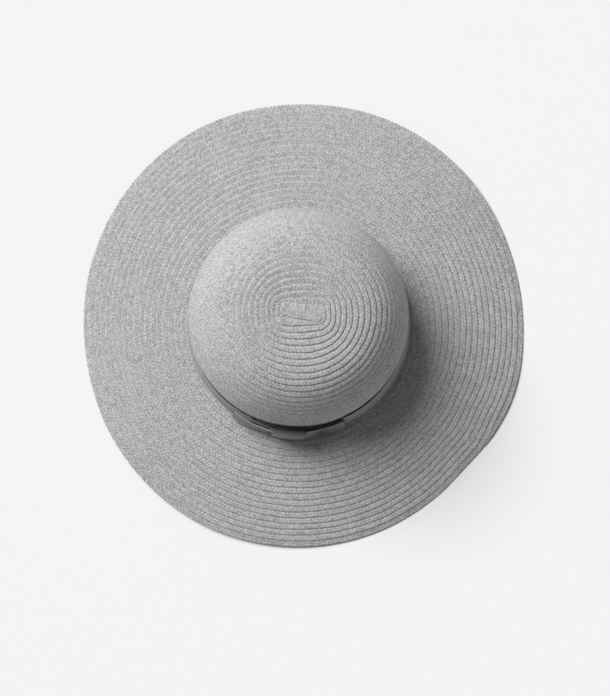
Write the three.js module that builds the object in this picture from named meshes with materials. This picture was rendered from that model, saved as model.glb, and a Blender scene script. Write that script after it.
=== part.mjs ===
import * as THREE from "three";

// A woven sun hat lying on its brim. Lengths are in millimetres, angles in degrees, +Z is up.
// Angles run counter-clockwise from +X as seen from above. The bow is towards -Y.

// Driving dimensions
const strawThickness = 2;
const gap = 0.3;
const crownHeight = 105;
const crownHalfWidth = 98.4;
const crownHalfDepth = 96.8;
const crownCentre = { x: -3.3, y: -2.8 };
const crownTipLean = { x: 4.7, y: -0.7 };
const crownBulge = { x: 0.5, y: 3 };
const crownDent = { x: -2, y: 7, radius: 36, depth: 1.6 };
const brimHeight = 22;
const brimBend = 1.6;
const ribbonWidth = 31;
const ribbonThickness = 1;
const footFlare = 4.3;
const bandSlack = { angle: -80, distance: 1.3 };
const bowAngle = -94.6;
const knotWidth = 28;
const knotDepth = 7.9;
const knotTaper = 0.34;
const knotCorner = 2;
const knotShoulder = 3.5;
const loopEdges = { low: 1.9, high: 28.8 };

// How finely each piece is divided
const crownSteps = { around: 64, up: 18 };
const brimSteps = { around: 96, out: 9 };
const leafSteps = 14;
const knotSteps = { across: 4, corner: 3 };

// The crown's outer wall, from its foot to its tip: the height above the brim as a share of the
// crown's height, and the half-width there as a share of the foot's. The ribbon's top edge draws
// the wall in a little.
const crownSections = [
  { height: 0, width: 1 },
  { height: 0.16, width: 0.976 },
  { height: 0.32, width: 0.951 },
  { height: 0.42, width: 0.958 },
  { height: 0.51, width: 0.953 },
  { height: 0.65, width: 0.913 },
  { height: 0.725, width: 0.871 },
  { height: 0.8, width: 0.816 },
  { height: 0.876, width: 0.735 },
  { height: 0.938, width: 0.623 },
  { height: 0.972, width: 0.487 },
  { height: 0.992, width: 0.253 },
  { height: 1, width: 0 },
];

// The rim seen from above, and how far it waves up from the table. The straw braid ends just
// before 320 degrees, where the outline steps in by one row.
const rimWaves = [
  { angle: 0, radius: 199, lift: 0 },
  { angle: 18, radius: 198.6, lift: 0.6 },
  { angle: 42, radius: 200.4, lift: 2.6 },
  { angle: 66, radius: 201.2, lift: 2.4 },
  { angle: 92, radius: 200.8, lift: 0 },
  { angle: 120, radius: 201.8, lift: 3.2 },
  { angle: 150, radius: 200.2, lift: 3.8 },
  { angle: 188, radius: 198.4, lift: 0 },
  { angle: 212, radius: 200.4, lift: 1.6 },
  { angle: 240, radius: 202, lift: 3.4 },
  { angle: 266, radius: 201.2, lift: 1.8 },
  { angle: 290, radius: 199.4, lift: 0.3 },
  { angle: 309, radius: 196.9, lift: 0 },
  { angle: 319, radius: 195.6, lift: 0.2 },
  { angle: 330, radius: 198.8, lift: 1 },
  { angle: 342, radius: 200.6, lift: 1.2 },
];

// The two leaves of each bow loop, from inside the knot to the tip: the arc along the band from
// the bow's middle, and how far off the band the front leaf stands at its top and lower edge and
// the back leaf all the way down.
const leftLoop = [
  { along: -1.2, top: 5.6, low: 3.5, back: 2.1 },
  { along: -13, top: 5.6, low: 3.5, back: 2 },
  { along: -19, top: 4.2, low: 3.2, back: 1.2 },
  { along: -24, top: 3.2, low: 3.2, back: 1 },
  { along: -30, top: 2.6, low: 3.4, back: 0.9 },
  { along: -40, top: 2.2, low: 3.6, back: 0.9 },
  { along: -48.5, top: 2.2, low: 3.4, back: 0.9 },
];
const rightLoop = [
  { along: 1.2, top: 5.6, low: 3.5, back: 2.1 },
  { along: 12, top: 5.6, low: 3.5, back: 2 },
  { along: 19, top: 4.4, low: 3.3, back: 1.2 },
  { along: 25, top: 3.1, low: 3.3, back: 1 },
  { along: 30, top: 2.7, low: 3.4, back: 0.9 },
  { along: 38, top: 2.5, low: 3.5, back: 0.9 },
  { along: 47.5, top: 2.3, low: 3.3, back: 0.9 },
];

const straw = new THREE.MeshStandardMaterial({ color: 0xb4b4b2, roughness: 0.8, metalness: 0 });
const ribbon = new THREE.MeshStandardMaterial({ color: 0x7c7c7e, roughness: 0.7, metalness: 0 });

const radians = THREE.MathUtils.degToRad;

// A list made by calling a function with each whole number below a count.
function times(count, make) {
  return Array.from({ length: count }, (_, i) => make(i));
}

// A closed solid through a row of rings of points. The ends are joined to each other ("loop"),
// drawn together to a point each ("poles") or closed by flat faces ("flat").
function solidFromRings(rings, ends) {
  const across = Math.max(...rings.map((ring) => ring.length));
  const starts = rings.map((_, row) => rings.slice(0, row).reduce((sum, ring) => sum + ring.length, 0));
  const corner = (row, column) => starts[row] + (rings[row].length === 1 ? 0 : column % across);
  const triangles = [];
  const rows = ends === "loop" ? rings.length : rings.length - 1;
  for (let row = 0; row < rows; row++) {
    const next = (row + 1) % rings.length;
    for (let column = 0; column < across; column++) {
      const [a, b] = [corner(row, column), corner(row, column + 1)];
      const [c, d] = [corner(next, column + 1), corner(next, column)];
      if (a !== b) triangles.push([a, b, c]);
      if (c !== d) triangles.push([a, c, d]);
    }
  }
  if (ends === "flat") {
    const last = rings.length - 1;
    for (let column = 1; column < across - 1; column++) {
      triangles.push([corner(0, 0), corner(0, column + 1), corner(0, column)]);
      triangles.push([corner(last, 0), corner(last, column), corner(last, column + 1)]);
    }
  }
  return facedOutwards(rings.flat(), triangles);
}

// A geometry with its faces pointing out, which is where the enclosed volume comes out positive.
function facedOutwards(points, triangles) {
  let volume = 0;
  for (const [a, b, c] of triangles) {
    volume += points[a].dot(points[b].clone().cross(points[c]));
  }
  const geometry = new THREE.BufferGeometry().setFromPoints(points);
  geometry.setIndex(triangles.flatMap(([a, b, c]) => (volume > 0 ? [a, b, c] : [a, c, b])));
  geometry.computeVertexNormals();
  return geometry;
}

// The value of one column of the rim's table at an angle, smooth from row to row all the way round.
function roundTheRim(column, angle) {
  const turned = THREE.MathUtils.euclideanModulo(angle, 360);
  const size = rimWaves.length;
  const row = rimWaves.findLastIndex((entry) => entry.angle <= turned);
  const value = (step) => rimWaves[(row + step + size) % size][column];
  const to = row + 1 < size ? rimWaves[row + 1].angle : 360;
  const t = (turned - rimWaves[row].angle) / (to - rimWaves[row].angle);
  const rise = (value(1) - value(-1)) / 2;
  const nextRise = (value(2) - value(0)) / 2;
  return (
    value(0) * (2 * t ** 3 - 3 * t ** 2 + 1) +
    rise * (t ** 3 - 2 * t ** 2 + t) +
    value(1) * (3 * t ** 2 - 2 * t ** 3) +
    nextRise * (t ** 3 - t ** 2)
  );
}

// A point of the oval round the foot of the crown, or of one a given distance outside it. The foot
// flares out, so the oval gets smaller with height, and all that the ribbon makes leans with it.
function crownOval(angle, outside, height) {
  const wider = outside - (footFlare * height) / ribbonWidth;
  return new THREE.Vector3(
    crownCentre.x + (crownHalfWidth + wider) * Math.cos(radians(angle)),
    crownCentre.y + (crownHalfDepth + wider) * Math.sin(radians(angle)),
    brimHeight + gap + height
  );
}

// How far the crown's top is pressed in at a place on it.
function dentAt(x, y) {
  const distance = Math.hypot(x - crownDent.x, y - crownDent.y) / crownDent.radius;
  return distance < 1 ? crownDent.depth * (1 - distance ** 2) ** 2 : 0;
}

// A point of the crown's wall, from its reach as a share of the foot's and its height. Above the
// ribbon the wall's middle bulges to one side and leans towards the tip.
function crownPoint(reach, height, angle) {
  const above = Math.max(0, height - ribbonWidth) / (crownHeight - ribbonWidth);
  const bulge = 4 * above * (1 - above);
  const middle = (axis) => crownCentre[axis] + crownTipLean[axis] * above ** 2 + crownBulge[axis] * bulge;
  const x = middle("x") + crownHalfWidth * reach * Math.cos(radians(angle));
  const y = middle("y") + crownHalfDepth * reach * Math.sin(radians(angle));
  return new THREE.Vector3(x, y, brimHeight + gap + height - dentAt(x, y));
}

// The crown is a hollow dome, open below. Its inner wall follows the outer one.
function crownGeometry() {
  const { around, up } = crownSteps;
  const profile = new THREE.SplineCurve(
    crownSections.map(({ height, width }) => new THREE.Vector2(width * crownHalfDepth, height * crownHeight))
  );
  const ring = (step, inset) => {
    const point = profile.getPointAt(step / up);
    const along = profile.getTangentAt(step / up);
    const reach = (point.x - along.y * inset) / crownHalfDepth;
    const height = step === 0 ? 0 : point.y + along.x * inset;
    return times(around, (i) => crownPoint(reach, height, (360 * i) / around));
  };
  const outer = times(up, (step) => ring(step, 0));
  const inner = times(up, (step) => ring(step, strawThickness));
  const outerTip = [crownPoint(0, crownHeight, 0)];
  const innerTip = [crownPoint(0, crownHeight - strawThickness, 0)];
  return solidFromRings([outerTip, ...outer.reverse(), ...inner, innerTip], "poles");
}

// The brim runs from under the crown's wall out to the rim. It is nearly level by the crown and
// bends down more and more, and its underside follows its top.
function brimGeometry() {
  const { around, out } = brimSteps;
  const ring = (step, below) =>
    times(around, (i) => {
      const angle = (360 * i) / around;
      const share = step / out;
      const reach = roundTheRim("radius", angle);
      const rim = new THREE.Vector3(reach * Math.cos(radians(angle)), reach * Math.sin(radians(angle)), 0);
      const point = crownOval(angle, -strawThickness, 0).lerp(rim, share);
      const lift = roundTheRim("lift", angle) * share ** 2;
      point.z = brimHeight - (brimHeight - strawThickness) * share ** brimBend + lift - below;
      return point;
    });
  const top = times(out + 1, (step) => ring(step, 0));
  const underside = times(out + 1, (step) => ring(step, strawThickness));
  return solidFromRings([...top, ...underside.reverse()], "loop");
}

// How far the band's inner face stands off the crown: the bow draws it away in front.
function bandStandOff(angle) {
  return gap + bandSlack.distance * Math.max(0, Math.cos(radians(angle - bandSlack.angle))) ** 2;
}

function bandGeometry() {
  const ring = (outside, height) =>
    times(crownSteps.around, (i) => {
      const angle = (360 * i) / crownSteps.around;
      return crownOval(angle, bandStandOff(angle) + outside, height);
    });
  const inner = [ring(0, ribbonWidth), ring(0, 0)];
  const outer = [ring(ribbonThickness, 0), ring(ribbonThickness, ribbonWidth)];
  return solidFromRings([...outer, ...inner], "loop");
}

// A place by the ribbon band: the arc from the bow's middle, the distance out from the band's
// outer face, and the height above the band's lower edge.
function onBand(along, off, height) {
  const radius = (crownHalfWidth + crownHalfDepth - footFlare) / 2;
  const angle = bowAngle + THREE.MathUtils.radToDeg(along / radius);
  return crownOval(angle, bandStandOff(angle) + ribbonThickness + off, height);
}

// The knot is a strip of ribbon wrapped over and under the loops: a rounded oblong in section that
// gets shallower downwards, so that its face hangs nearly straight, swept along the band.
function knotGeometry() {
  const size = new THREE.Vector2(knotDepth - gap, ribbonWidth + ribbonThickness);
  const outline = new THREE.Shape();
  outline.absarc(knotDepth - knotCorner, knotCorner, knotCorner, -Math.PI / 2, 0);
  outline.absarc(knotDepth - knotShoulder, size.y - knotShoulder, knotShoulder, 0, Math.PI / 2);
  outline.absarc(gap + knotCorner, size.y - knotCorner, knotCorner, Math.PI / 2, Math.PI);
  outline.absarc(gap + knotCorner, knotCorner, knotCorner, Math.PI, 1.5 * Math.PI);
  const stations = outline.getPoints(knotSteps.corner);
  const middle = new THREE.Vector2(gap, 0).addScaledVector(size, 0.5);
  const shrink = size.clone().subScalar(2 * ribbonThickness).divide(size);
  const off = (point) => gap + (point.x - gap) * (1 - knotTaper * (1 - point.y / size.y));
  const rings = stations.map((outer) => {
    const inner = outer.clone().sub(middle).multiply(shrink).add(middle);
    const across = times(knotSteps.across + 1, (i) => knotWidth * (i / knotSteps.across - 0.5));
    return [
      ...across.map((along) => onBand(along, off(outer), outer.y)),
      ...across.reverse().map((along) => onBand(along, off(inner), inner.y)),
    ];
  });
  return solidFromRings(rings, "loop");
}

// The line of one edge of a loop, out along the front leaf, round the tip and back along the back
// leaf: pairs of places to the left and right of it, half the ribbon's thickness away.
function loopEdge(table, frontColumn) {
  const leaf = (column) => new THREE.SplineCurve(table.map((row) => new THREE.Vector2(row.along, row[column])));
  const front = leaf(frontColumn).getSpacedPoints(leafSteps);
  const back = leaf("back").getSpacedPoints(leafSteps);
  const [frontEnd, backEnd] = [front[leafSteps], back[leafSteps]];
  const tip = frontEnd.clone().add(backEnd).multiplyScalar(0.5);
  tip.x += (Math.sign(tip.x) * (frontEnd.y - backEnd.y)) / 2;
  const path = [...front, tip, ...back.reverse()];
  return path.map((point, i) => {
    const before = path[Math.max(i - 1, 0)];
    const after = path[Math.min(i + 1, path.length - 1)];
    const along = after.clone().sub(before).normalize();
    const side = new THREE.Vector2(-along.y, along.x).multiplyScalar(ribbonThickness / 2);
    return [point.clone().add(side), point.clone().sub(side)];
  });
}

// A loop is a strip of ribbon standing on its edge, between its top and its lower edge.
function loopGeometry(table) {
  const [top, low] = [loopEdge(table, "top"), loopEdge(table, "low")];
  const rings = top.map(([topLeft, topRight], i) => {
    const [lowLeft, lowRight] = low[i];
    return [
      onBand(lowLeft.x, lowLeft.y, loopEdges.low),
      onBand(lowRight.x, lowRight.y, loopEdges.low),
      onBand(topRight.x, topRight.y, loopEdges.high),
      onBand(topLeft.x, topLeft.y, loopEdges.high),
    ];
  });
  return solidFromRings(rings, "flat");
}

function piece(name, geometry, material) {
  const mesh = new THREE.Mesh(geometry, material);
  mesh.name = name;
  return mesh;
}

const hat = new THREE.Group();
hat.add(
  piece("crown", crownGeometry(), straw),
  piece("brim", brimGeometry(), straw),
  piece("ribbon_band", bandGeometry(), ribbon),
  piece("bow_knot", knotGeometry(), ribbon),
  piece("bow_loop_left", loopGeometry(leftLoop), ribbon),
  piece("bow_loop_right", loopGeometry(rightLoop), ribbon)
);

// The hat is set down with the middle of its outline on the origin and its lowest point at zero.
const box = new THREE.Box3().setFromObject(hat, true);
const middle = box.getCenter(new THREE.Vector3());
hat.position.set(-middle.x, -middle.y, -box.min.z);
hat.updateMatrixWorld(true);

export default hat;
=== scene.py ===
"""A woven straw sun hat lying on its brim: a coil of sewn braid, a ribbon band and a flat bow.

Lengths are in millimetres and angles in degrees, unless a name says otherwise. Angles run
counter-clockwise from +X as seen from above, and the bow is towards -Y.
"""

import sys
import logging
import math
from collections.abc import Callable
from dataclasses import dataclass, field
from enum import Enum
from functools import cached_property
from typing import NamedTuple

import bpy
import numpy as np
from mathutils import Matrix, Vector


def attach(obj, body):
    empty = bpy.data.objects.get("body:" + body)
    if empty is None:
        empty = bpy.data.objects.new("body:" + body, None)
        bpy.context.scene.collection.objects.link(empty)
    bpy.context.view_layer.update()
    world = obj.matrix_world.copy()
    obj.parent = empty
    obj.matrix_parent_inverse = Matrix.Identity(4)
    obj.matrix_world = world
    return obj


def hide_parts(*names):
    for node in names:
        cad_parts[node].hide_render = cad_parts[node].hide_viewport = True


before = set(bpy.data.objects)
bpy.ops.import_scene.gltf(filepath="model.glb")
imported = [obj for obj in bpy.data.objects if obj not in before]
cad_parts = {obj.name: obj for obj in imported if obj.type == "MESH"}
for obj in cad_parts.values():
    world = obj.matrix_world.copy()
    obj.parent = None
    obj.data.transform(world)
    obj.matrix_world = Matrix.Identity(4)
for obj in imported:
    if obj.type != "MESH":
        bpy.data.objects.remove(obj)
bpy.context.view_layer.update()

log = logging.getLogger("sun_hat")
METRES = 0.001
FEWEST_RINGS = 4
STRAND_SLANT = 0.6
Array = np.ndarray
Colour = tuple[float, float, float, float]
Socket = bpy.types.NodeSocket
Material = bpy.types.Material
Piece = bpy.types.Object


class Body(Enum):
    """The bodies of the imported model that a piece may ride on."""

    HAT = "root"


class Slot(Enum):
    """The record's material slots."""

    STRAW = "straw"
    RIBBON = "ribbon"


class Held(Enum):
    """How a ribbon is held."""

    STRETCHED = "stretched"
    FOLDED = "folded"


class RimPoint(NamedTuple):
    """A place on the rim: its reach from the middle and its lift off the table."""

    angle: float
    radius: float
    lift: float


class CrownSection(NamedTuple):
    """A level of the crown: its height and half-width as shares of the whole."""

    height: float
    width: float


class LoopStation(NamedTuple):
    """A place along a bow loop.

    The front leaf's top and low edge and the back leaf stand off the band. The knot pulls the
    front leaf's top back. Deep is how much painted shade the loop's colour gets there, and the
    back leaf's top sinks.
    """

    along: float
    top: float
    low: float
    back: float
    pull: float
    deep: float
    sink: float


class Corner(NamedTuple):
    """A corner of the braid's cross-section."""

    across: float
    face: float
    plait: float


RIM_WAVES = (
    RimPoint(0, 199, 0),
    RimPoint(18, 198.6, 0.6),
    RimPoint(42, 200.4, 2.6),
    RimPoint(66, 201.2, 2.4),
    RimPoint(92, 200.8, 0),
    RimPoint(120, 201.8, 3.2),
    RimPoint(150, 200.2, 3.8),
    RimPoint(188, 198.4, 0),
    RimPoint(212, 200.4, 1.6),
    RimPoint(240, 202, 3.4),
    RimPoint(266, 201.2, 1.8),
    RimPoint(290, 199.4, 0.3),
    RimPoint(309, 196.9, 0),
    RimPoint(319, 195.6, 0.2),
    RimPoint(330, 198.8, 1),
    RimPoint(342, 200.6, 1.2),
)

CROWN_SECTIONS = (
    CrownSection(0, 1),
    CrownSection(0.16, 0.976),
    CrownSection(0.32, 0.955),
    CrownSection(0.41, 0.97),
    CrownSection(0.51, 0.96),
    CrownSection(0.65, 0.913),
    CrownSection(0.725, 0.871),
    CrownSection(0.8, 0.816),
    CrownSection(0.876, 0.735),
    CrownSection(0.938, 0.623),
    CrownSection(0.972, 0.487),
    CrownSection(0.992, 0.253),
    CrownSection(1, 0),
)

# In the loop tables the deep column is painted shade on the ribbon, from 0 to 1.
LEFT_LOOP = (
    LoopStation(-1.2, 5.9, 3.2, 2.0, 1.8, 1, 4),
    LoopStation(-13, 6.3, 3.2, 1.8, 2.4, 1, 4),
    LoopStation(-16, 6.7, 3.1, 1.3, 3.2, 0.9, 4),
    LoopStation(-19, 6.2, 3.1, 1.0, 2.6, 0.9, 4),
    LoopStation(-24, 4.7, 3.2, 0.9, 1.4, 0.6, 3.5),
    LoopStation(-30, 3.5, 3.6, 0.9, 0, 0.3, 2),
    LoopStation(-40, 2.5, 3.9, 0.9, 0, 0.15, 0.6),
    LoopStation(-48.5, 2.2, 3.5, 0.9, 0, 0.1, 0),
)

RIGHT_LOOP = (
    LoopStation(1.2, 5.9, 3.2, 2.0, 1.8, 1, 4),
    LoopStation(12, 6.2, 3.0, 1.8, 2.2, 0.6, 5),
    LoopStation(15, 6.3, 2.9, 1.4, 3.2, 0.3, 5),
    LoopStation(19, 4.6, 2.7, 1.1, 2.0, 0.6, 5),
    LoopStation(25, 2.5, 2.5, 0.9, 0.2, 1, 5),
    LoopStation(30, 2.0, 2.5, 0.7, 0, 0.9, 5),
    LoopStation(38, 1.9, 2.6, 0.6, 0, 0.6, 5),
    LoopStation(47.5, 1.9, 2.7, 0.6, 0, 0.4, 3),
)

# From the tucked inner edge over the upper face to the outer edge, and back under.
BRAID_CORNERS = (
    Corner(-0.18, 0.9, 0),
    Corner(0.02, 1, -0.4),
    Corner(0.24, 1, 1),
    Corner(0.48, 1, -0.5),
    Corner(0.74, 1, 1),
    Corner(0.94, 0.8, 0.9),
    Corner(1.0, 0, 0),
    Corner(0.93, -1, 0),
    Corner(0.55, -1, -0.8),
    Corner(0.15, -1, -0.8),
    Corner(-0.18, -0.9, 0),
)

# The turn along the crown's first row, and how much its outer edge lies on the next row there. It
# is pressed flat where it starts, and nearly so along the far side of the oval.
FIRST_CLIMB = ((10, 0), (28, 1), (160, 1), (195, 0.3), (290, 0.3), (340, 1))

# How a hand-fed row strays: the waves in a turn of the coil, and where each starts, in radians.
STRAY_WAVES = ((2.7, 0.4), (6.1, 1.9), (11.3, 0.7), (23.9, 2.6))
STRAY_REACH = 2.4


def smooth_step(low: float, high: float, value: Array) -> Array:
    """A share for each value, which rises smoothly from 0 at the low one to 1 at the high one."""
    share = np.clip((value - low) / (high - low), 0, 1)
    return share * share * (3 - 2 * share)


def between(t: Array, before: Array, here: Array, after: Array, later: Array) -> Array:
    """A smooth curve through four evenly spaced values, between the middle two.

    Args:
        t: How far on from here to after, from 0 to 1.
        before: The first value.
        here: The second value.
        after: The third value.
        later: The fourth value.

    Returns:
        The value at each place.
    """
    leave, arrive = (after - before) / 2, (later - here) / 2
    square, cube = 3 * (after - here) - 2 * leave - arrive, 2 * (here - after) + leave + arrive
    return here + t * (leave + t * (square + t * cube))


def smooth_line(points: Array, steps: int) -> Array:
    """A smooth line through a row of points.

    Args:
        points: The points, a row each.
        steps: How many pieces each stretch between two points is cut into.

    Returns:
        Points along the line, from the first point to the last.
    """
    last = len(points) - 1
    share = np.linspace(0, last, last * steps + 1)
    row = np.minimum(share.astype(int), last - 1)
    around = (points[np.clip(row + step, 0, last)] for step in (-1, 0, 1, 2))
    return between((share - row)[:, None], *around)


def lengths_along(points: Array) -> Array:
    """How far along a line each of its points lies, starting at 0."""
    return np.append(0, np.cumsum(np.linalg.norm(np.diff(points, axis=0), axis=1)))


def stretches(wanted: Array) -> list[tuple[int, int]]:
    """The first step of each unbroken stretch of wanted steps, and the step after its last."""
    edges = np.diff(np.concatenate([[0], wanted.astype(int), [0]]))
    return list(zip(np.flatnonzero(edges == 1), np.flatnonzero(edges == -1)))


def uneven(turn: Array) -> Array:
    """How a hand-fed row strays from its line, from about -1 to 1, after a given turn of the coil."""
    return sum(np.sin(np.radians(turn * rate) + start) for rate, start in STRAY_WAVES) / STRAY_REACH


@dataclass(frozen=True)
class HatForm:
    """The hat's main form, from its solids' driving dimensions.

    The band's slack and the wall just above the ribbon are about a millimetre off theirs.
    """

    straw_thickness: float = 2.0
    gap: float = 0.3
    crown_height: float = 105.0
    crown_half_width: float = 98.4
    crown_half_depth: float = 96.8
    crown_centre: tuple[float, float] = (-3.3, -2.8)
    crown_tip_lean: tuple[float, float] = (4.7, -0.7)
    crown_bulge: tuple[float, float] = (0.5, 3.0)
    dent_place: tuple[float, float] = (-2.0, 7.0)
    dent_radius: float = 36.0
    dent_depth: float = 1.6
    brim_height: float = 22.0
    brim_bend: float = 1.6
    ribbon_width: float = 31.0
    ribbon_thickness: float = 1.0
    foot_flare: float = 4.3
    slack_angle: float = -80.0
    slack_distance: float = 0.5
    bow_angle: float = -94.6
    rim_steps: int = 96
    profile_steps: int = 60

    def round_the_rim(self, column: str, angle: Array) -> Array:
        """The value of one column of the rim's table, smooth all the way round.

        Args:
            column: The column's name, radius or lift.
            angle: Where it is wanted.

        Returns:
            The value at each angle.
        """
        angles = np.array([row.angle for row in RIM_WAVES], float)
        values = np.array([getattr(row, column) for row in RIM_WAVES], float)
        turned = np.mod(angle, 360)
        row = np.searchsorted(angles, turned, side="right") - 1
        t = (turned - angles[row]) / (np.append(angles[1:], 360)[row] - angles[row])
        return between(t, *(values[(row + step) % len(values)] for step in (-1, 0, 1, 2)))

    @cached_property
    def shift(self) -> Array:
        """How far the hat is moved to stand with its outline's middle on the origin.

        Returns:
            The move along each axis.
        """
        angle = np.arange(self.rim_steps) * 360 / self.rim_steps
        reach = self.round_the_rim("radius", angle)
        x, y = reach * np.cos(np.radians(angle)), reach * np.sin(np.radians(angle))
        lift = self.round_the_rim("lift", angle)
        return -np.array([(x.max() + x.min()) / 2, (y.max() + y.min()) / 2, lift.min()])

    @cached_property
    def crown_profile(self) -> Array:
        """The crown's outline from its tip to its foot.

        Returns:
            A row for each place: the arc length, reach and height, and the line's direction.
        """
        rows = [(s.width * self.crown_half_depth, s.height * self.crown_height) for s in CROWN_SECTIONS]
        line = smooth_line(np.array(rows, float), self.profile_steps)
        slope = np.gradient(line, axis=0)
        slope /= np.linalg.norm(slope, axis=1)[:, None]
        down = lengths_along(line)
        table = np.column_stack([down[-1] - down, line, slope])
        return table[::-1]

    @property
    def crown_length(self) -> float:
        """The arc length of the crown's outline from its tip to its foot."""
        return float(self.crown_profile[-1, 0])

    def oval(self, angle: Array, outside: Array, height: Array) -> Array:
        """A point of the oval round the crown's foot, which flares out, or of one outside it.

        Args:
            angle: The direction from the crown's middle.
            outside: How far outside the oval.
            height: How high above the crown's foot.

        Returns:
            The points, with their coordinates along the last axis.
        """
        turned = np.radians(angle)
        wider = outside - self.foot_flare * height / self.ribbon_width
        x = self.crown_centre[0] + (self.crown_half_width + wider) * np.cos(turned)
        y = self.crown_centre[1] + (self.crown_half_depth + wider) * np.sin(turned)
        z = self.brim_height + self.gap + height + 0 * x
        return np.stack(np.broadcast_arrays(x, y, z), axis=-1)

    def on_crown(self, down: Array, angle: Array, depth: Array) -> Array:
        """A point in the crown's wall.

        Args:
            down: The arc length from the tip.
            angle: The direction from the crown's middle.
            depth: How deep under the wall's outer face.

        Returns:
            The points, with their coordinates along the last axis.
        """
        table = self.crown_profile
        reach, level, run, rise = (np.interp(down, table[:, 0], table[:, i]) for i in (1, 2, 3, 4))
        share = np.maximum(reach - rise * depth, 0) / self.crown_half_depth
        height = level + run * depth
        above = np.maximum(0, height - self.ribbon_width) / (self.crown_height - self.ribbon_width)
        turned, bulge = np.radians(angle), 4 * above * (1 - above)
        shifts = zip(self.crown_centre, self.crown_tip_lean, self.crown_bulge)
        x, y = (centre + lean * above**2 + swell * bulge for centre, lean, swell in shifts)
        x = x + self.crown_half_width * share * np.cos(turned)
        y = y + self.crown_half_depth * share * np.sin(turned)
        from_dent = np.hypot(x - self.dent_place[0], y - self.dent_place[1]) / self.dent_radius
        dent = self.dent_depth * np.maximum(0, 1 - from_dent**2) ** 2
        return np.stack([x, y, self.brim_height + self.gap + height - dent], axis=-1)

    def on_brim(self, angle: Array, share: Array, depth: Array) -> Array:
        """A point in the brim's wall.

        Args:
            angle: The direction from the middle.
            share: How far out, from 0 under the crown to 1 at the rim.
            depth: How deep under the brim's upper face.

        Returns:
            The points, with their coordinates along the last axis.
        """
        inner = self.oval(angle, -self.straw_thickness, 0)
        reach, turned = self.round_the_rim("radius", angle), np.radians(angle)
        x = inner[..., 0] + (reach * np.cos(turned) - inner[..., 0]) * share
        y = inner[..., 1] + (reach * np.sin(turned) - inner[..., 1]) * share
        drop = (self.brim_height - self.straw_thickness) * np.maximum(share, 0) ** self.brim_bend
        lift = self.round_the_rim("lift", angle) * share**2
        return np.stack([x, y, self.brim_height - drop + lift - depth], axis=-1)

    def stand_off(self, angle: Array) -> Array:
        """How far the ribbon band's inner face stands off the crown."""
        slack = np.maximum(0, np.cos(np.radians(angle - self.slack_angle))) ** 2
        return self.gap + self.slack_distance * slack

    def on_band(self, along: Array, off: Array, height: Array) -> Array:
        """A place by the ribbon band.

        Args:
            along: The arc from the bow's middle.
            off: How far out from the band's outer face.
            height: How high above the band's lower edge.

        Returns:
            The points, with their coordinates along the last axis.
        """
        radius = (self.crown_half_width + self.crown_half_depth - self.foot_flare) / 2
        angle = self.bow_angle + np.degrees(along / radius)
        return self.oval(angle, self.stand_off(angle) + self.ribbon_thickness + off, height)


@dataclass
class Strip:
    """A swept strip: rings of points, with the pattern's coordinates at each of them."""

    rings: Array
    pattern: Array
    closed: bool = False


@dataclass
class SweptPiece:
    """A piece made of strips, each one closed body."""

    name: str
    form: HatForm
    pattern_name: str
    sharp_angle: float = 50.0
    strips: list[Strip] = field(default_factory=list)

    def faces_of(self, strip: Strip, start: int) -> list[Array]:
        """The faces of one strip, pointing out.

        Args:
            strip: The strip.
            start: The number of its first point in the piece.

        Returns:
            The four-sided faces, and the two end faces of a strip that isn't closed.
        """
        rows, columns = strip.rings.shape[:2]
        row = np.arange(rows if strip.closed else rows - 1)[:, None]
        column = np.arange(columns)[None, :]
        after, beside = (row + 1) % rows, (column + 1) % columns
        corners = [row * columns + column, row * columns + beside]
        corners += [after * columns + beside, after * columns + column]
        quads = np.stack(corners, axis=-1).reshape(-1, 4)
        points = strip.rings.reshape(-1, 3)
        a, b, c, d = (points[quads[:, i]] for i in range(4))
        volume = np.einsum("ij,ij->", a, np.cross(b, c)) + np.einsum("ij,ij->", a, np.cross(c, d))
        ends = [] if strip.closed else [np.arange(columns)[::-1], (rows - 1) * columns + np.arange(columns)]
        if volume < 0:
            quads = quads[:, ::-1]
            ends = [end[::-1] for end in ends]
        return [quads + start] + [end[None, :] + start for end in ends]

    def build(self) -> Piece:
        """Makes the mesh object.

        Returns:
            The object, in the scene and not yet dressed.
        """
        faces, start = [], 0
        for strip in self.strips:
            faces += self.faces_of(strip, start)
            start += strip.rings.shape[0] * strip.rings.shape[1]
        points = np.concatenate([strip.rings.reshape(-1, 3) for strip in self.strips])
        pattern = np.concatenate([strip.pattern.reshape(-1, 3) for strip in self.strips])
        mesh = bpy.data.meshes.new(self.name)
        mesh.vertices.add(len(points))
        mesh.vertices.foreach_set("co", ((points + self.form.shift) * METRES).astype(np.float32).ravel())
        sizes = np.concatenate([np.full(len(group), group.shape[1]) for group in faces])
        corners = np.concatenate([group.ravel() for group in faces])
        mesh.loops.add(len(corners))
        mesh.loops.foreach_set("vertex_index", corners.astype(np.int32))
        mesh.polygons.add(len(sizes))
        mesh.polygons.foreach_set("loop_start", np.append(0, np.cumsum(sizes)[:-1]).astype(np.int32))
        mesh.update(calc_edges=True)
        mesh.attributes.new(self.pattern_name, "FLOAT_VECTOR", "POINT")
        layer = mesh.attributes[self.pattern_name]
        layer.data.foreach_set("vector", pattern.astype(np.float32).ravel())
        mesh.shade_smooth()
        mesh.set_sharp_from_angle(angle=math.radians(self.sharp_angle))
        mesh.validate()
        piece = bpy.data.objects.new(self.name, mesh)
        bpy.context.scene.collection.objects.link(piece)
        return piece


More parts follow.
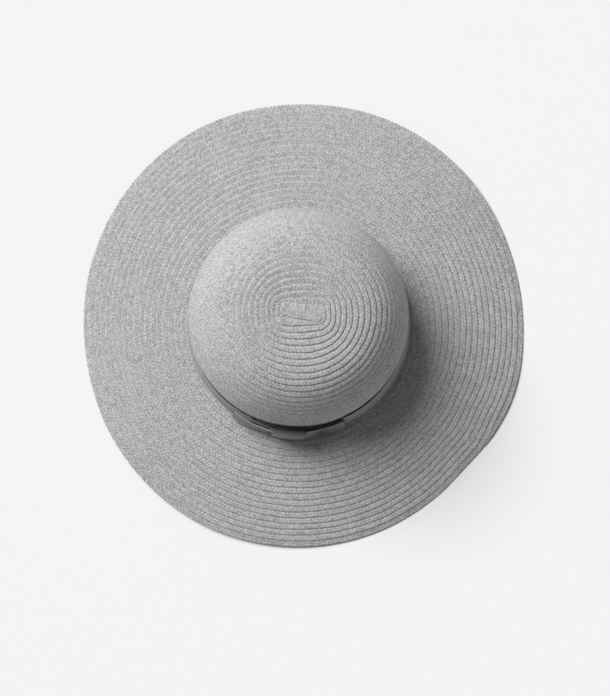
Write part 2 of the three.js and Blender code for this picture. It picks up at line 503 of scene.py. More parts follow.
class NodeTree:
    """A material's node tree, with short ways to add and join nodes."""

    def __init__(self, name: str) -> None:
        """Starts a material with one principled shader.

        Args:
            name: The material's name.
        """
        self.material = bpy.data.materials.new(name)
        self.material.use_nodes = True
        self.nodes = self.material.node_tree.nodes
        self.links = self.material.node_tree.links
        self.shader = self.nodes["Principled BSDF"]

    def add(self, kind: str, inputs: dict, **settings: object) -> bpy.types.Node:
        """Adds a node.

        Args:
            kind: The node's type.
            inputs: What goes into its inputs, by their name or number: a value or an output.
            settings: The node's own settings.

        Returns:
            The node.
        """
        node = self.nodes.new(kind)
        for name, value in settings.items():
            setattr(node, name, value)
        for name, value in inputs.items():
            self.join(node.inputs[name], value)
        return node

    def join(self, socket: Socket, value: object) -> None:
        """Fills an input of a node.

        Args:
            socket: The input.
            value: What it is set to, or the output that is linked to it.
        """
        if isinstance(value, Socket):
            self.links.new(value, socket)
        else:
            socket.default_value = value

    def sum(self, operation: str, *values: object) -> Socket:
        """The outcome of a kind of sum, such as ADD, on one, two or three numbers or outputs."""
        return self.add("ShaderNodeMath", dict(enumerate(values)), operation=operation).outputs[0]

    def clamped(self, operation: str, *values: object) -> Socket:
        """The outcome of a sum, kept between 0 and 1."""
        inputs = dict(enumerate(values))
        return self.add("ShaderNodeMath", inputs, operation=operation, use_clamp=True).outputs[0]

    def ridge(self, share: Socket, flatness: float) -> Socket:
        """A ridge over a share from 0 to 1: 1 midway and 0 at both ends, flatter for a larger number."""
        middle = self.sum("ABSOLUTE", self.sum("MULTIPLY_ADD", share, 2.0, -1.0))
        return self.sum("SUBTRACT", 1.0, self.sum("POWER", middle, flatness))

    def noise(self, vector: Socket, scale: float, detail: float) -> Socket:
        """Soft noise from 0 to 1 at a place, as fine as its scale and detail say."""
        inputs = {"Vector": vector, "Scale": scale, "Detail": detail}
        return self.add("ShaderNodeTexNoise", inputs).outputs["Fac"]

    def place(self, x: object, y: object, z: object) -> Socket:
        """A vector from three numbers or outputs."""
        return self.add("ShaderNodeCombineXYZ", {0: x, 1: y, 2: z}).outputs[0]

    def scaled(self, scales: tuple[float, float], x: object, y: object, z: object) -> Socket:
        """A vector from three numbers or outputs, with the first two times their scales."""
        return self.place(*(self.sum("MULTIPLY", *pair) for pair in zip((x, y), scales)), z)

    def total(self, start: float, *parts: tuple[Socket, float]) -> Socket:
        """Adds up outputs, each times its weight.

        Args:
            start: A number to start from.
            parts: The outputs and their weights.

        Returns:
            The output that carries the total.
        """
        outcome: object = start
        for output, weight in parts:
            outcome = self.sum("MULTIPLY_ADD", output, weight, outcome)
        return outcome

    def blend(self, share: object, first: object, second: object) -> Socket:
        """Mixes two colours.

        Args:
            share: How much of the second, from 0 to 1.
            first: A colour or output.
            second: Another.

        Returns:
            The output that carries the mix.
        """
        mix = self.nodes.new("ShaderNodeMix")
        mix.data_type = "RGBA"
        self.join(mix.inputs[0], share)
        self.join(mix.inputs[6], first)
        self.join(mix.inputs[7], second)
        return mix.outputs[2]

    def bump(self, height: Socket, distance: float, strength: float) -> None:
        """Joins a relief of a given depth in metres to the shader's normal."""
        inputs = {"Height": height, "Distance": distance, "Strength": strength}
        self.join(self.shader.inputs["Normal"], self.add("ShaderNodeBump", inputs).outputs[0])


@dataclass(frozen=True)
class StrawFinish:
    """Matt plaited paper straw: a herringbone of flat strands, each of its own tint."""

    dark: Colour = (0.22, 0.22, 0.216, 1)
    light: Colour = (0.51, 0.51, 0.50, 1)
    darker: float = 0.24
    tint_weight: float = 0.75
    dome_weight: float = 0.4
    fibre_weight: float = 0.4
    cloud_weight: float = 0.16
    slant: float = STRAND_SLANT
    straws: float = 2.0
    strand_flatness: float = 2.0
    edge_flatness: float = 6.0
    fibre_scales: tuple[float, float] = (9.0, 3.0)
    fibre_noise: tuple[float, float] = (2.2, 4.0)
    cloud_noise: tuple[float, float] = (26.0, 2.0)
    roughness: float = 0.72
    sheen: float = 0.12
    specular: float = 0.25
    fibre_relief: float = 0.3
    relief_metres: float = 0.00019
    relief_strength: float = 0.8

    def material(self) -> Material:
        """Makes the material.

        Returns:
            The material, which reads the braid's own coordinates from the mesh.
        """
        tree = NodeTree("straw_braid")
        braid = tree.add("ShaderNodeAttribute", {}, attribute_name="braid").outputs["Vector"]
        along, across, lap = tree.add("ShaderNodeSeparateXYZ", {0: braid}).outputs
        halves = tree.sum("MULTIPLY", across, 2.0)
        column = tree.sum("FLOOR", halves)
        chevron = tree.sum("ABSOLUTE", tree.sum("SUBTRACT", halves, 1.0))
        slanted = tree.sum("MULTIPLY_ADD", chevron, -self.slant, along)
        strand = tree.sum("MULTIPLY_ADD", column, 0.5, slanted)
        ridge = tree.ridge(tree.sum("FRACT", strand), self.strand_flatness)
        edge = tree.ridge(tree.sum("FRACT", halves), self.edge_flatness)
        dome = tree.sum("MULTIPLY", ridge, edge)
        straw = [tree.sum("FLOOR", tree.sum("MULTIPLY", place, self.straws)) for place in (strand, halves)]
        tint = tree.add("ShaderNodeTexWhiteNoise", {"Vector": tree.place(*straw, lap)}).outputs["Value"]
        fibre = tree.noise(tree.scaled(self.fibre_scales, strand, across, lap), *self.fibre_noise)
        cloud = tree.noise(tree.add("ShaderNodeTexCoord", {}).outputs["Object"], *self.cloud_noise)
        # The colour follows the relief too, darker in its hollows between strands and along the row edges.
        strands = (tint, self.tint_weight), (dome, self.dome_weight)
        shade = tree.total(-self.darker, *strands, (fibre, self.fibre_weight), (cloud, self.cloud_weight))
        tree.join(tree.shader.inputs["Base Color"], tree.blend(shade, self.dark, self.light))
        tree.shader.inputs["Roughness"].default_value = self.roughness
        tree.shader.inputs["Sheen Weight"].default_value = self.sheen
        tree.shader.inputs["Specular IOR Level"].default_value = self.specular
        height = tree.sum("MULTIPLY_ADD", fibre, self.fibre_relief, dome)
        tree.bump(height, self.relief_metres, self.relief_strength)
        return tree.material


@dataclass(frozen=True)
class RibbonFinish:
    """Grosgrain ribbon: fine ribs across its width and a dull satin face, with painted shade on the bow and
    on the band behind it.
    """

    dark: Colour = (0.22, 0.22, 0.222, 1)
    light: Colour = (0.40, 0.40, 0.405, 1)
    # The colour of the painted shade.
    deep: Colour = (0.085, 0.085, 0.086, 1)
    edge_from: float = 28.0
    edge_fade: float = 2.4
    darker: float = 0.1
    rib_weight: float = 0.4
    thread_weight: float = 0.35
    cloud_weight: float = 0.5
    rib: float = 0.9
    rib_flatness: float = 2.0
    thread_scales: tuple[float, float] = (1.6, 7.0)
    cloud_scales: tuple[float, float] = (0.08, 0.08)
    noise_detail: float = 2.5
    roughness: float = 0.75
    sheen: float = 0.08
    specular: float = 0.25
    thread_relief: float = 0.25
    relief_metres: float = 0.00012
    relief_strength: float = 0.9

    def material(self) -> Material:
        """Makes the material.

        Returns:
            The material, which reads the ribbon's own coordinates from the mesh.
        """
        tree = NodeTree("grosgrain_ribbon")
        ribbon = tree.add("ShaderNodeAttribute", {}, attribute_name="ribbon").outputs["Vector"]
        along, across, deep = tree.add("ShaderNodeSeparateXYZ", {0: ribbon}).outputs
        turns = tree.sum("FRACT", tree.sum("MULTIPLY", along, 1 / self.rib))
        rib = tree.ridge(turns, self.rib_flatness)
        thread, cloud = (
            tree.noise(tree.scaled(scales, along, across, 0.0), 1.0, self.noise_detail)
            for scales in (self.thread_scales, self.cloud_scales)
        )
        weights = (rib, self.rib_weight), (thread, self.thread_weight), (cloud, self.cloud_weight)
        shade = tree.total(-self.darker, *weights)
        # Painted shade: where the third coordinate says so, the colour goes towards the deep colour, except
        # along the ribbon's top edge.
        below = tree.clamped("MULTIPLY_ADD", across, -1 / self.edge_fade, self.edge_from / self.edge_fade)
        deep = tree.clamped("MULTIPLY", deep, below)
        colour = tree.blend(deep, tree.blend(shade, self.dark, self.light), self.deep)
        tree.join(tree.shader.inputs["Base Color"], colour)
        tree.shader.inputs["Roughness"].default_value = self.roughness
        tree.shader.inputs["Sheen Weight"].default_value = self.sheen
        tree.shader.inputs["Specular IOR Level"].default_value = self.specular
        height = tree.sum("MULTIPLY_ADD", thread, self.thread_relief, rib)
        tree.bump(height, self.relief_metres, self.relief_strength)
        return tree.material


@dataclass(frozen=True)
class FloorFinish:
    """A plain pale studio floor with the faintest grain."""

    tone: float = 0.86
    grain: float = 0.995
    grain_noise: tuple[float, float] = (900.0, 2.0)
    roughness: float = 0.95

    def material(self) -> Material:
        """Makes the material.

        Returns:
            The material.
        """
        tree = NodeTree("pale_floor")
        grain = tree.noise(tree.add("ShaderNodeTexCoord", {}).outputs["Object"], *self.grain_noise)
        tone, darker = (self.tone,) * 3 + (1,), (self.tone * self.grain,) * 3 + (1,)
        tree.join(tree.shader.inputs["Base Color"], tree.blend(grain, darker, tone))
        tree.shader.inputs["Roughness"].default_value = self.roughness
        tree.shader.inputs["Specular IOR Level"].default_value = 0.0
        return tree.material


@dataclass(frozen=True)
class Braid:
    """The flat plaited braid that the hat is sewn from, and how its rows overlap."""

    thickness: float = 0.62
    cell: float = 3.2
    steps_in_cell: int = 4
    turn_step: float = 0.5
    relief: float = 0.17
    scallop: float = 0.05
    scalloped_from: float = 0.9
    climb_end: float = 0.5
    slant: float = STRAND_SLANT
    strength: tuple[float, float] = (0.3, 1.5)
    seed: int = 11

    @property
    def step(self) -> float:
        """How far apart the braid's rings are."""
        return self.cell / self.steps_in_cell

    @cached_property
    def corners(self) -> Array:
        """The section's corners: share across, face and plait, a row each."""
        return np.array(BRAID_CORNERS, float)

    def shape(self, along: Array, climb: Array) -> tuple[Array, Array]:
        """The braid's section at each step.

        Args:
            along: How far along the braid each step is.
            climb: From 0 where the row lies flat to 1 where its outer edge is on top of the next.

        Returns:
            The share across the row and the height above the wall's middle, a row for each step.
        """
        across, face, plait = (column[None, :] for column in self.corners.T)
        second = across > 0.5
        chevron = np.abs(2 * across - 1)
        strand = along[:, None] / self.cell - self.slant * chevron + 0.5 * second
        wave = -np.cos(2 * np.pi * strand)
        edge = np.cos(2 * np.pi * (along[:, None] / self.cell)) * (across > self.scalloped_from)
        draw = np.random.default_rng(self.seed)
        cells = (strand - strand.min()).astype(int)
        strength = draw.uniform(*self.strength, (2, cells.max() + 1))
        wave = wave * np.where(second, strength[1, cells], strength[0, cells])
        half = self.thickness / 2
        middle = half * (2 * smooth_step(0, self.climb_end, across) - 1)
        middle = half * (climb[:, None] - 1) + middle * climb[:, None]
        relief = self.relief * plait * np.where(plait > 0, wave, 1)
        return across + self.scallop * edge, middle + half * face + relief

    def steps(self, place: Callable[..., Array], first: float, last: float) -> tuple[Array, Array]:
        """Where the braid's rings are along a coil.

        Args:
            place: Gives the coil's points from the turn, the share across and the height.
            first: The turn at which the braid starts.
            last: The turn at which it ends.

        Returns:
            The turn of each ring, and how far along the braid it is.
        """
        turn = np.arange(first, last, self.turn_step)
        lengths = lengths_along(place(turn, np.full((len(turn), 1), 0.5), np.zeros((len(turn), 1)))[:, 0])
        along = np.arange(0, lengths[-1], self.step)
        return np.interp(along, lengths, turn), along

    def pattern(self, along: Array, lap: Array) -> Array:
        """The coordinates that the straw's finish reads.

        Args:
            along: How far along the braid each step is.
            lap: The lap that each step is in.

        Returns:
            Three coordinates for each corner of each step.
        """
        across = self.corners[:, 0][None, :]
        cells, laps = along[:, None] / self.cell, lap[:, None]
        return np.stack(np.broadcast_arrays(cells, across, laps), axis=-1)


@dataclass
class BrimCoil:
    """The brim: rows of braid wound from the tail at the rim in to the crown."""

    form: HatForm
    braid: Braid
    finish: Material
    tail_angle: float = 320.0
    rows_at_tail: float = 20.05
    foot_rows: tuple[float, float, float] = (0.507, -0.153, 0.382)
    row_swell: float = 0.0696
    tail_end: float = 3.0
    tail_full: float = 15.0
    laps: float = 21.1
    narrowest: float = 0.12
    unevenness: float = 0.045
    stray_from: float = 360.0
    stray_full: float = 400.0
    names: tuple[str, ...] = ("brim_braid_outer", "brim_braid_middle", "brim_braid_inner")

    def rows_to_rim(self, angle: Array) -> Array:
        """How many rows out the rim is, where the braid's tail tapers off.

        Args:
            angle: The direction from the middle.

        Returns:
            The rows at each angle.
        """
        past_tail = np.mod(angle - self.tail_angle, 360)
        taper = 1 - smooth_step(self.tail_end, self.tail_full, past_tail)
        return self.rows_at_tail - past_tail / 360 - taper

    def rows_to_foot(self, angle: Array) -> Array:
        """Where the crown's foot cuts the rows at an angle."""
        turned, (middle, right, back) = np.radians(angle), self.foot_rows
        return middle + right * np.cos(turned) + back * np.sin(turned)

    def edges(self, turn: Array) -> tuple[Array, Array]:
        """Where a row's two edges are.

        Args:
            turn: The turn from the tail.

        Returns:
            The inner and the outer edge, counted in rows.
        """
        angle = self.tail_angle + turn
        low, high = self.rows_to_foot(angle), self.rows_to_rim(angle)
        edges = []
        for past in (turn + 360, turn):
            stray = self.unevenness * uneven(past) * smooth_step(self.stray_from, self.stray_full, past)
            edges.append(np.clip(self.rows_at_tail - past / 360 + stray, low, high))
        return edges[0], edges[1]

    def place(self, turn: Array, across: Array, height: Array) -> Array:
        """A point of the braid.

        Args:
            turn: The turn from the tail, for each step.
            across: The share across the row, for each corner of each step.
            height: The height above the wall's middle, likewise.

        Returns:
            The points, with their coordinates along the last axis.
        """
        angle = (self.tail_angle + turn)[:, None]
        inner, outer = (edge[:, None] for edge in self.edges(turn))
        low, high = self.rows_to_foot(angle), self.rows_to_rim(angle)
        rows = np.maximum(inner + (outer - inner) * across, low)
        out = (rows - low) / (high - low)
        share = out + self.row_swell * out * (1 - out)
        return self.form.on_brim(angle + 0 * share, share, self.form.straw_thickness / 2 - height)

    def build(self) -> list[Piece]:
        """Makes the brim's pieces.

        Returns:
            The pieces, dressed and riding on the hat.
        """
        turn, along = self.braid.steps(self.place, 0, self.laps * 360)
        inner, outer = self.edges(turn)
        wide = outer - inner > self.narrowest
        climb = smooth_step(360 + self.tail_end, 360 + self.tail_full, turn)
        across, height = self.braid.shape(along, climb)
        rings = self.place(turn, across, height)
        pattern = self.braid.pattern(along, np.floor(turn / 360))
        return coil_pieces(self.names, self.form, wide, rings, pattern, self.finish, "brim")


@dataclass
class CrownCoil:
    """The crown: rows of braid wound from an oval start at the tip down to the foot."""

    form: HatForm
    braid: Braid
    finish: Material
    start_angle: float = 4.0
    start_tilt: float = -17.0
    tilt_fade: tuple[float, float] = (0.5, 1.1)
    start_corners: float = 4.0
    corner_fade: float = 2.0
    start_length: float = 12.95
    start_fade: float = 5.5
    first_row: float = 3.5
    row_pitch: float = 5.55
    pitch_growth: float = 0.018
    even_from: float = 15.0
    even_pitch: float = 6.1
    narrowest: float = 0.7
    unevenness: float = 0.22
    stray_full: float = 2.0
    start_sink: float = 0.16
    sink_over: float = 40.0
    start_overlap: float = 9.0
    names: tuple[str, ...] = ("crown_braid_upper", "crown_braid_lower")
    start_name: str = "crown_braid_start"

    def reach(self, rows: Array) -> Array:
        """How far from the tip a row's edge is, across the start's long axis.

        Args:
            rows: How many rows out the edge is.

        Returns:
            The arc length for each.
        """
        early = np.minimum(rows, self.even_from)
        even = self.even_pitch * np.maximum(rows - self.even_from, 0)
        return self.first_row + self.row_pitch * early + self.pitch_growth * early**2 + even

    def edge(self, rows: Array, angle: Array) -> Array:
        """The arc length from the tip to a row's edge, oval near the tip and round further down.

        Args:
            rows: How many rows out the edge is.
            angle: The direction from the tip.

        Returns:
            The arc length for each.
        """
        beside = self.reach(rows)
        longer = beside + self.start_length * np.exp(-rows / self.start_fade)
        turned = np.radians(angle - self.tilt(rows))
        power = 2 + self.start_corners * np.exp(-rows / self.corner_fade)
        oval = np.abs(np.cos(turned) / longer) ** power + np.abs(np.sin(turned) / beside) ** power
        oval = oval ** (-1 / power)
        return oval + self.unevenness * uneven(360 * rows) * smooth_step(0, self.stray_full, rows)

    def tilt(self, rows: Array) -> Array:
        """How far the oval's long axis is turned after a number of rows."""
        return self.start_tilt * (1 - smooth_step(*self.tilt_fade, rows))

    def place(self, turn: Array, across: Array, height: Array) -> Array:
        """A point of the braid.

        Args:
            turn: The turn from the end of the flat start, for each step.
            across: The share across the row, for each corner of each step.
            height: The height above the wall's middle, likewise.

        Returns:
            The points, with their coordinates along the last axis.
        """
        angle, rows = (self.start_angle - turn)[:, None], (turn / 360)[:, None]
        inner, outer = self.edge(rows, angle), self.edge(rows + 1, angle)
        down = np.minimum(inner + (outer - inner) * across, self.form.crown_length)
        return self.form.on_crown(down, angle + 0 * down, self.form.straw_thickness / 2 - height)

    def place_start(self, turn: Array, across: Array, height: Array) -> Array:
        """A point of the flat start, whose inner edge is drawn together on its long axis.

        Args:
            turn: The turn, up to 0 where the start ends.
            across: The share across the row, for each corner of each step.
            height: The height above the wall's middle, likewise.

        Returns:
            The points, with their coordinates along the last axis.
        """
        angle, rows = (self.start_angle - turn)[:, None], (turn / 360)[:, None]
        axis = self.tilt(rows + 1)
        outer, turned = self.edge(rows + 1, angle), np.radians(angle - axis)
        half = self.start_length * np.exp(-(rows + 1) / self.start_fade)
        fold = outer * np.cos(turned) * half / (half + self.reach(rows + 1))
        x = fold + (outer * np.cos(turned) - fold) * across
        y = outer * np.sin(turned) * across
        around = np.degrees(np.arctan2(y, x)) + axis
        return self.form.on_crown(np.hypot(x, y), around, self.form.straw_thickness / 2 - height)

    def build(self) -> list[Piece]:
        """Makes the crown's pieces.

        Returns:
            The pieces, dressed and riding on the hat.
        """
        foot = self.form.crown_length
        even_start = float(self.reach(np.array(self.even_from)))
        last = 360 * (self.even_from + (foot - even_start) / self.even_pitch)
        turn, along = self.braid.steps(self.place, 0, last + 360)
        angle, rows = self.start_angle - turn, turn / 360
        inner, outer = (np.minimum(self.edge(rows + i, angle), foot) for i in (0, 1))
        climb = np.interp(turn, *np.transpose(FIRST_CLIMB))
        across, height = self.braid.shape(along, climb)
        height = height + self.braid.thickness * (1 - climb)[:, None]
        rings = self.place(turn, across, height)
        pattern = self.braid.pattern(along, np.floor(rows))
        wide = outer - inner > self.narrowest
        pieces = coil_pieces(self.names, self.form, wide, rings, pattern, self.finish, "crown")
        return pieces + self.build_start()

    def build_start(self) -> list[Piece]:
        """Makes the braid's flat start, which ends sunk under the coil.

        Returns:
            The piece, dressed and riding on the hat.
        """
        turn, along = self.braid.steps(self.place_start, -360, self.start_overlap)
        across, height = self.braid.shape(along, np.zeros_like(along))
        sink = self.start_sink * smooth_step(-self.sink_over, 0, turn)[:, None]
        rings = self.place_start(turn, across, height + self.braid.thickness - sink)
        pattern = self.braid.pattern(along, np.full_like(along, -1))
        everywhere = np.ones(len(turn), bool)
        return coil_pieces((self.start_name,), self.form, everywhere, rings, pattern, self.finish, "crown")


def coil_pieces(
    names: tuple[str, ...],
    form: HatForm,
    wanted: Array,
    rings: Array,
    pattern: Array,
    finish: Material,
    node: str,
) -> list[Piece]:
    """Cuts a coil of braid into pieces of about the same length.

    Args:
        names: The pieces' names, a piece for each.
        form: The hat's form.
        wanted: Whether the braid shows at each step.
        rings: The braid's section at each step.
        pattern: The pattern's coordinates at each point of the rings.
        finish: The straw's material.
        node: The solid that the pieces stand for.

    Returns:
        The pieces, dressed and riding on the hat.
    """
    pieces = []
    cuts = np.linspace(0, len(rings) - 1, len(names) + 1).astype(int)
    for name, first, last in zip(names, cuts[:-1], cuts[1:]):
        piece = SweptPiece(name, form, "braid")
        for start, stop in stretches(wanted[first : last + 1]):
            if stop - start >= FEWEST_RINGS:
                part = slice(first + start, first + stop)
                piece.strips.append(Strip(rings[part], pattern[part]))
        pieces.append(dress(piece.build(), finish, node))
    return pieces


def dress(piece: Piece, finish: Material, node: str) -> Piece:
    """Gives a piece its finish and ties it to the frame.

    Args:
        piece: The piece.
        finish: Its material.
        node: The solid that the piece stands for.

    Returns:
        The piece.
    """
    piece.data.materials.append(finish)
    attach(piece, Body.HAT.value)
    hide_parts(node)
    log.info("%s: %d faces", piece.name, len(piece.data.polygons))
    return piece


def declare_sheet(piece: Piece, length: float, width: float) -> None:
    """Logs that a piece is a ribbon, and how long and wide it is when flat."""
    log.info("%s: a ribbon of %.0f by %.1f mm", piece.name, length, width)


@dataclass
class RibbonBand:
    """The ribbon drawn round the foot of the crown."""

    form: HatForm
    finish: Material
    around: int = 360
    across: int = 12
    selvage: float = 0.5
    behind_bow: tuple[float, float] = (244.5, 295.0)
    dip: float = 4.0
    dip_over: float = 2.0
    ease: float = 0.12
    ease_waves: int = 5

    def build(self) -> list[Piece]:
        """Makes the band.

        Returns:
            The piece, dressed and riding on the hat.
        """
        width, thick = self.form.ribbon_width, self.form.ribbon_thickness
        angle = (np.arange(self.around) * 360 / self.around)[:, None]
        up = np.linspace(self.selvage, width - self.selvage, self.across)
        height = np.concatenate([[0.0], up, [width], up[::-1]])[None, :]
        outer, inner = np.full(self.across, thick), np.zeros(self.across)
        outside = np.concatenate([[thick / 2], outer, [thick / 2], inner])
        ease = self.ease * np.sin(np.radians(self.ease_waves * angle)) * np.sin(np.pi * height / width)
        # Behind the bow the band's top dips, and the third pattern coordinate paints it in shade there.
        first, last = self.behind_bow
        behind = smooth_step(0, self.dip_over, angle - first) * smooth_step(0, self.dip_over, last - angle)
        height = height * (1 - behind * self.dip / width)
        off = self.form.stand_off(angle) + outside[None, :] + ease * (outside > 0)
        rings = self.form.oval(angle + 0 * off, off, height + 0 * off)
        along = np.radians(angle) * (self.form.crown_half_width + thick)
        pattern = np.stack(np.broadcast_arrays(along, height, behind + 0 * off), axis=-1)
        strips = [Strip(rings, pattern, closed=True)]
        piece = SweptPiece("ribbon_band_cloth", self.form, "ribbon", strips=strips).build()
        middle = rings[:, self.across // 2]
        length = float(lengths_along(np.vstack([middle, middle[:1]]))[-1])
        declare_sheet(piece, length, width)
        return [dress(piece, self.finish, "ribbon_band")]


@dataclass
class RibbonBow:
    """The flat bow: a loop to each side, held by a short ribbon wrapped round the middle."""

    form: HatForm
    finish: Material
    knot_width: float = 28.0
    knot_depth: float = 9.0
    knot_taper: float = 0.52
    knot_corner: float = 1.4
    knot_shoulder: float = 5.6
    knot_crown: float = 0.5
    knot_painted_shade_fade: float = 0.45
    knot_spacing: float = 1.5
    loop_low: float = 1.9
    loop_high: float = 28.8
    pull_over: tuple[float, float] = (0.78, 1.06)
    leaf_steps: int = 40
    bend_steps: int = 9
    across: int = 14

    def knot_outline(self) -> Array:
        """The knot's outline, as seen along the band.

        Returns:
            Its points' distances off the band and heights, from the lower outer corner upwards.
        """
        gap, out, up = self.form.gap, self.knot_depth, self.form.ribbon_width + self.form.ribbon_thickness
        small, large = self.knot_corner, self.knot_shoulder
        corners = [(out - small, small, small), (out - small, up - small, small)]
        corners += [(gap + large, up - large, large), (gap + small, small, small)]
        path = []
        for (off, level, radius), turn in zip(corners, (-90, 0, 90, 180)):
            turned = np.radians(np.linspace(turn, turn + 90, self.bend_steps))
            path.append(np.column_stack([off + radius * np.cos(turned), level + radius * np.sin(turned)]))
        line = np.concatenate(path + [path[0][:1]])
        lengths = lengths_along(line)
        spots = np.linspace(0, lengths[-1], int(lengths[-1] / self.knot_spacing))[:-1]
        return np.column_stack([np.interp(spots, lengths, line[:, i]) for i in (0, 1)])

    def knot(self) -> Piece:
        """Makes the short ribbon wrapped over and under the loops.

        Returns:
            The piece, not yet dressed.
        """
        gap, thick, depth = self.form.gap, self.form.ribbon_thickness, self.knot_depth
        size = np.array([depth - gap, self.form.ribbon_width + thick])
        outer = self.knot_outline()
        middle = np.array([gap, 0]) + size / 2
        inner = (outer - middle) * (size - 2 * thick) / size + middle
        edge = (outer + inner) / 2
        across = np.linspace(-0.5, 0.5, self.across + 1) * self.knot_width
        lines = [(across[1:-1], outer), (across[-1:], edge), (across[-2:0:-1], inner), (across[:1], edge)]
        rings, pattern = [], []
        length = lengths_along(outer)[:, None]
        for along, line in lines:
            spots, level = np.broadcast_to(along, (len(line), len(along))), line[:, 1:]
            off = gap + (line[:, :1] - gap) * (1 - self.knot_taper * (1 - level / size[1]))
            swell = self.knot_crown * np.cos(np.pi * spots / self.knot_width) * smooth_step(0, depth, off)
            rings.append(self.form.on_band(spots, off + swell, level + 0 * spots))
            # Painted shade on the knot: full by the crown, lighter outwards.
            deep = 1 - self.knot_painted_shade_fade * smooth_step(gap, depth, off)
            pattern.append(np.stack(np.broadcast_arrays(length, spots, deep), axis=-1))
        strip = Strip(np.concatenate(rings, axis=1), np.concatenate(pattern, axis=1), closed=True)
        piece = SweptPiece("bow_knot_cloth", self.form, "ribbon", strips=[strip]).build()
        declare_sheet(piece, float(length[-1, 0]), self.knot_width)
        return piece

    def loop(self, name: str, stations: tuple[LoopStation, ...]) -> Piece:
        """Makes one loop: out along its front leaf, round the tip and back.

        Args:
            name: The piece's name.
            stations: Its places, from the knot to the tip.

        Returns:
            The piece, not yet dressed.
        """
        up = np.linspace(0, 1, self.across)
        top, low = (self.loop_path(stations, edge) for edge in ("top", "low"))
        pull, deep, sink = (self.leaf(stations, column)[:, 1] for column in ("pull", "deep", "sink"))
        rest = np.zeros(len(top) - len(pull))
        # The painted shade follows the deep column along the front leaf and is full round the tip and on
        # the back leaf.
        pull, deep = np.append(pull, rest)[:, None], np.append(deep, rest + 1)[:, None]
        sink = np.append(rest, sink[::-1])[:, None]
        height = self.loop_low + (self.loop_high - self.loop_low - sink) * up[None, :]
        faces = []
        for side in (1, -1):
            upper, lower = (self.beside(path, side)[:, None, :] for path in (top, low))
            spots = lower + (upper - lower) * up[None, :, None]
            off = spots[..., 1] - pull * smooth_step(*self.pull_over, up)[None, :]
            faces.append(self.form.on_band(spots[..., 0], off, height + 0 * off))
        rings = np.concatenate([faces[0], faces[1][:, ::-1]], axis=1)
        length = lengths_along(top)[:, None]
        one = np.stack(np.broadcast_arrays(length, height + sink, deep), axis=-1)
        pattern = np.concatenate([one, one[:, ::-1]], axis=1)
        piece = SweptPiece(name, self.form, "ribbon", strips=[Strip(rings, pattern)]).build()
        declare_sheet(piece, float(length[-1, 0]), self.loop_high - self.loop_low)
        return piece

    def leaf(self, stations: tuple[LoopStation, ...], column: str) -> Array:
        """The places along a loop, each with the value of one column of its table, made smooth."""
        table = np.array([(station.along, getattr(station, column)) for station in stations], float)
        return smooth_line(table, self.leaf_steps // (len(stations) - 1))

    def loop_path(self, stations: tuple[LoopStation, ...], edge: str) -> Array:
        """The line of one edge of a loop.

        Args:
            stations: The loop's places.
            edge: The column with that edge's distance off the band.

        Returns:
            Places along and off the band: out along the front leaf, round the tip and back.
        """
        front, back = (self.leaf(stations, column) for column in (edge, "back"))
        swing = (front[-1, 1] - back[-1, 1]) / 2
        turned = np.radians(np.linspace(90, -90, self.bend_steps)[1:-1])
        tip = swing * np.column_stack([math.copysign(1, front[-1, 0]) * np.cos(turned), np.sin(turned)])
        return np.vstack([front, tip + (front[-1] + back[-1]) / 2, back[::-1]])

    def beside(self, path: Array, side: int) -> Array:
        """Moves a line half the ribbon's thickness to one side.

        Args:
            path: The line's points.
            side: 1 for its left side and -1 for its right.

        Returns:
            The moved points.
        """
        slope = np.gradient(path, axis=0)
        slope /= np.linalg.norm(slope, axis=1)[:, None]
        return path + side * np.column_stack([-slope[:, 1], slope[:, 0]]) * self.form.ribbon_thickness / 2

    def build(self) -> list[Piece]:
        """Makes the bow's pieces.

        Returns:
            The pieces, dressed and riding on the hat.
        """
        loops = (("bow_loop_left", LEFT_LOOP), ("bow_loop_right", RIGHT_LOOP))
        pieces = [dress(self.knot(), self.finish, "bow_knot")]
        for node, stations in loops:
            pieces.append(dress(self.loop(node + "_cloth", stations), self.finish, node))
        return pieces


def direction(turn: float, height: float) -> Vector:
    """The direction towards a far place.

    Args:
        turn: Its turn from +X.
        height: How high it is above the horizon.

    Returns:
        A vector of length 1.
    """
    turned, raised = math.radians(turn), math.radians(height)
    level = math.cos(raised)
    return Vector((math.cos(turned) * level, math.sin(turned) * level, math.sin(raised)))


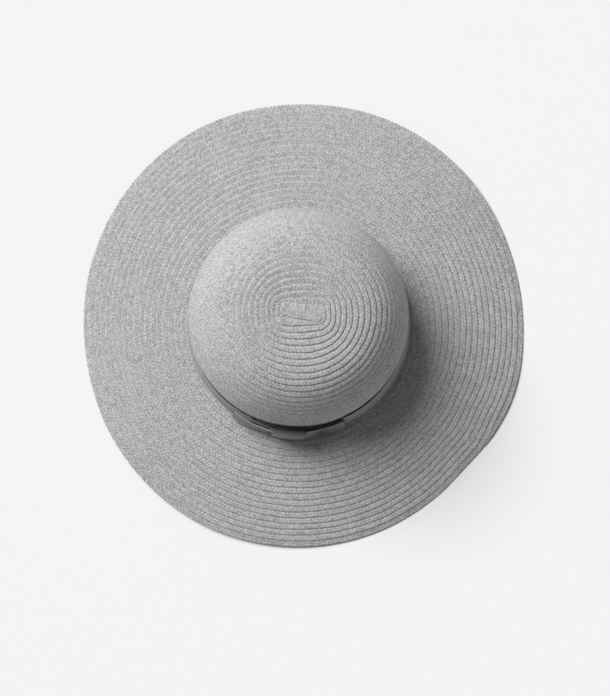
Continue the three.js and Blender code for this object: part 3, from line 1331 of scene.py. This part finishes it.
@dataclass
class Studio:
    """The floor, the light and the camera."""

    floor_metres: float = 30.0
    sun_angle: float = 138.0
    sun_height: float = 46.0
    sun_spread: float = 38.0
    sun_strength: float = 3.82
    sky: float = 0.18
    camera_metres: float = 1.5
    camera_angle: float = -80.0
    camera_height: float = 84.7
    sensor: float = 36.0
    lens: float = 85.73
    picture_height: int = 696
    shift_pixels: tuple[float, float] = (2.0, -25.1)

    def floor(self) -> None:
        """Lays the floor that the rim rests on."""
        half = self.floor_metres / 2
        mesh = bpy.data.meshes.new("studio_floor")
        corners = [(-half, -half, 0), (half, -half, 0), (half, half, 0), (-half, half, 0)]
        mesh.from_pydata(corners, [], [(0, 1, 2, 3)])
        mesh.materials.append(FloorFinish().material())
        floor = bpy.data.objects.new("studio_floor", mesh)
        bpy.context.scene.collection.objects.link(floor)

    def light(self) -> None:
        """Sets a broad soft light to the upper left and an even sky."""
        lamp = bpy.data.lights.new("key_light", "SUN")
        lamp.energy = self.sun_strength
        lamp.angle = math.radians(self.sun_spread)
        key = bpy.data.objects.new("key_light", lamp)
        key.rotation_mode = "QUATERNION"
        key.rotation_quaternion = direction(self.sun_angle, self.sun_height).to_track_quat("Z", "Y")
        bpy.context.scene.collection.objects.link(key)
        world = bpy.data.worlds.new("studio")
        world.use_nodes = True
        sky = world.node_tree.nodes["Background"]
        sky.inputs["Color"].default_value = (1, 1, 1, 1)
        sky.inputs["Strength"].default_value = self.sky
        bpy.context.scene.world = world
        bpy.context.scene.view_settings.view_transform = "Standard"

    def camera(self) -> None:
        """Places the camera almost straight above the hat."""
        lens = bpy.data.cameras.new("camera")
        lens.sensor_width, lens.lens = self.sensor, self.lens
        lens.shift_x, lens.shift_y = (pixels / self.picture_height for pixels in self.shift_pixels)
        camera = bpy.data.objects.new("camera", lens)
        back = direction(self.camera_angle, self.camera_height)
        right = Vector((0, 1, 0)).cross(back).normalized()
        up = back.cross(right)
        camera.matrix_world = Matrix.Translation(back * self.camera_metres) @ Matrix(
            (right, up, back)
        ).transposed().to_4x4()
        bpy.context.scene.collection.objects.link(camera)
        bpy.context.scene.camera = camera

    def build(self) -> None:
        """Sets up the whole studio."""
        self.floor()
        self.light()
        self.camera()


def main() -> None:
    """Builds the hat piece by piece."""
    logging.basicConfig(level=logging.INFO, format="%(name)s %(message)s", stream=sys.stdout)
    form = HatForm()
    straw, ribbon = StrawFinish().material(), RibbonFinish().material()
    Studio().build()
    for part in (
        BrimCoil(form, Braid(), straw),
        CrownCoil(form, Braid(thickness=0.74, relief=0.13), straw),
        RibbonBand(form, ribbon),
        RibbonBow(form, ribbon),
    ):
        pieces = part.build()
        log.info("%s: %s", type(part).__name__, ", ".join(piece.name for piece in pieces))


if __name__ == "__main__":
    main()
